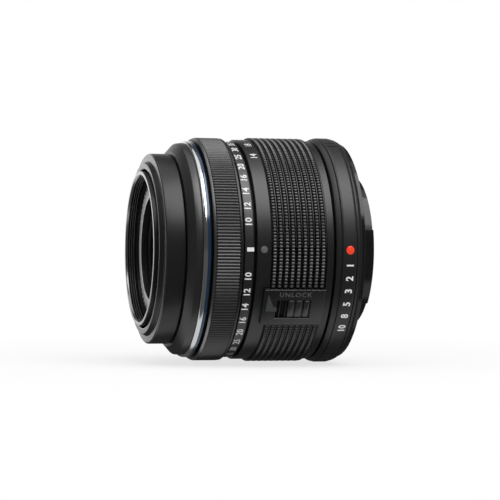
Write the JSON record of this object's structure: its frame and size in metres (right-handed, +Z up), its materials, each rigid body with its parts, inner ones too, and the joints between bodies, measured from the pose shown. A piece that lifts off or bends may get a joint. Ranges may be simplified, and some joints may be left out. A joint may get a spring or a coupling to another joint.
{
  "type": "camera lens",
  "caption": "Collapsible zoom camera lens: ribbed focus and zoom rings, a lock slider, a removable front ring, glass elements, an iris and a bayonet mount.",
  "frame": {"origin": "centre of the mounting flange's rear face, on the optical axis", "axes": "-Y points forward along the optical axis, away from the camera; +Z is up; +X is the side with the mounting and zoom index marks"},
  "size_m": [0.0566, 0.0549, 0.0564],
  "materials": {
    "black_plastic": "satin black moulded plastic",
    "black_gloss": "glossy black moulded plastic",
    "black_grip": "matte black ribbed plastic",
    "black_metal": "matte black coated metal",
    "grey_plastic": "dark grey moulded plastic",
    "blue_trim": "deep blue lacquer over metal",
    "chrome_trim": "polished",
    "red_dot": "orange-red insert",
    "steel": "plain",
    "gold_contact": "gold plated",
    "brass": "plain turned",
    "board": "green solder mask",
    "aluminium": "black anodised",
    "seal": "black flocked felt",
    "glass": "coated optical glass"
  },
  "bodies": {
    "mount": {"mount_plate": "black_gloss", "mount_screws": "steel", "contact_block": "black_plastic", "contact_pins": "gold_contact", "rear_baffle": "black_plastic", "rear_barrel": "black_plastic", "mount_index_dot": "red_dot", "fixed_barrel": "black_plastic", "main_board": "board", "index_ring": "black_plastic", "blue_ring": "blue_trim", "chrome_ring": "chrome_trim", "focus_sensor": "grey_plastic", "barrel_seal": "seal"},
    "zoom": {"zoom_ring": "black_plastic", "zoom_grip": "black_grip", "cam_barrel": "aluminium", "zoom_keys": "steel", "lock_plate": "black_plastic", "lock_spring": "steel"},
    "lock": {"lock_knob": "grey_plastic", "lock_slider": "black_plastic"},
    "focus": {"focus_ring": "black_plastic", "focus_comb": "grey_plastic"},
    "front": {"front_barrel": "black_plastic", "front_rollers": "brass", "front_cap": "black_plastic", "front_screws": "steel", "filter_ring": "black_plastic", "bezel_ring": "black_plastic", "front_cell": "black_plastic", "front_retainer": "aluminium", "front_element": "glass", "second_element": "glass", "third_element": "glass", "cell_spacers": "aluminium"},
    "decoration": {"decoration_ring": "black_plastic"},
    "carriage": {"rear_carriage": "grey_plastic", "rear_rollers": "brass", "iris_housing": "black_plastic", "iris_cover": "black_plastic", "fourth_element": "glass", "middle_cell": "grey_plastic", "fifth_element": "glass", "sixth_element": "glass", "guide_rods": "steel", "focus_motor": "steel", "carriage_cover": "black_plastic", "rear_element": "glass"},
    "focus_carriage": {"focus_carriage": "grey_plastic", "seventh_element": "glass"},
    "lead_screw": {"lead_screw": "steel"},
    "iris_ring": {"iris_ring": "black_metal"},
    "iris_blade_1": {"iris_blade_1": "black_metal"},
    "iris_blade_2": {"iris_blade_2": "black_metal"},
    "iris_blade_3": {"iris_blade_3": "black_metal"},
    "iris_blade_4": {"iris_blade_4": "black_metal"},
    "iris_blade_5": {"iris_blade_5": "black_metal"},
    "iris_blade_6": {"iris_blade_6": "black_metal"},
    "iris_blade_7": {"iris_blade_7": "black_metal"}
  },
  "joints": [
    {"name": "zoom_turn", "type": "hinge", "parent": "mount", "child": "zoom", "pos_m": [0, 0, 0], "axis": [0, 1, 0], "range_deg": [0, 118]},
    {"name": "front_slide", "type": "slide", "parent": "mount", "child": "front", "axis": [0, -1, 0], "range_m": [0, 0.019]},
    {"name": "carriage_slide", "type": "slide", "parent": "mount", "child": "carriage", "axis": [0, -1, 0], "range_m": [0, 0.009]},
    {"name": "focus_turn", "type": "hinge", "parent": "mount", "child": "focus", "pos_m": [0, 0, 0], "axis": [0, 1, 0], "continuous": true},
    {"name": "lock_slide", "type": "slide", "parent": "zoom", "child": "lock", "axis": [0, -1, 0], "range_m": [0, 0.0028], "stiffness_N_per_m": 200},
    {"name": "decoration_turn", "type": "hinge", "parent": "front", "child": "decoration", "pos_m": [0, 0, 0], "axis": [0, 1, 0], "range_deg": [0, 30]},
    {"name": "lead_screw_turn", "type": "hinge", "parent": "carriage", "child": "lead_screw", "pos_m": [0.00946, -0.013, 0.01352], "axis": [0, -1, 0], "range_deg": [0, 1080]},
    {"name": "focusing_slide", "type": "slide", "parent": "carriage", "child": "focus_carriage", "axis": [0, -1, 0], "range_m": [0, 0.003]},
    {"name": "iris_ring_turn", "type": "hinge", "parent": "carriage", "child": "iris_ring", "pos_m": [0, 0, 0], "axis": [0, 1, 0], "range_deg": [0, 20]},
    {"name": "iris_blade_1_turn", "type": "hinge", "parent": "carriage", "child": "iris_blade_1", "pos_m": [0.0124, -0.027, 0], "axis": [0, 1, 0], "range_deg": [-25, 0]},
    {"name": "iris_blade_2_turn", "type": "hinge", "parent": "carriage", "child": "iris_blade_2", "pos_m": [0.00773, -0.027, 0.00969], "axis": [0, 1, 0], "range_deg": [-25, 0]},
    {"name": "iris_blade_3_turn", "type": "hinge", "parent": "carriage", "child": "iris_blade_3", "pos_m": [-0.00276, -0.027, 0.01209], "axis": [0, 1, 0], "range_deg": [-25, 0]},
    {"name": "iris_blade_4_turn", "type": "hinge", "parent": "carriage", "child": "iris_blade_4", "pos_m": [-0.01117, -0.027, 0.00538], "axis": [0, 1, 0], "range_deg": [-25, 0]},
    {"name": "iris_blade_5_turn", "type": "hinge", "parent": "carriage", "child": "iris_blade_5", "pos_m": [-0.01117, -0.027, -0.00538], "axis": [0, 1, 0], "range_deg": [-25, 0]},
    {"name": "iris_blade_6_turn", "type": "hinge", "parent": "carriage", "child": "iris_blade_6", "pos_m": [-0.00276, -0.027, -0.01209], "axis": [0, 1, 0], "range_deg": [-25, 0]},
    {"name": "iris_blade_7_turn", "type": "hinge", "parent": "carriage", "child": "iris_blade_7", "pos_m": [0.00773, -0.027, -0.00969], "axis": [0, 1, 0], "range_deg": [-25, 0]}
  ],
  "couplings": [
    {"joint": "front_slide", "follows": "zoom_turn", "m_per_rad": 0.0092256},
    {"joint": "carriage_slide", "follows": "zoom_turn", "m_per_rad": 0.00437},
    {"joint": "lead_screw_turn", "follows": "focusing_slide", "rad_per_m": 6283.2},
    {"joint": "iris_blade_1_turn", "follows": "iris_ring_turn", "ratio": -1.25},
    {"joint": "iris_blade_2_turn", "follows": "iris_ring_turn", "ratio": -1.25},
    {"joint": "iris_blade_3_turn", "follows": "iris_ring_turn", "ratio": -1.25},
    {"joint": "iris_blade_4_turn", "follows": "iris_ring_turn", "ratio": -1.25},
    {"joint": "iris_blade_5_turn", "follows": "iris_ring_turn", "ratio": -1.25},
    {"joint": "iris_blade_6_turn", "follows": "iris_ring_turn", "ratio": -1.25},
    {"joint": "iris_blade_7_turn", "follows": "iris_ring_turn", "ratio": -1.25}
  ]
}
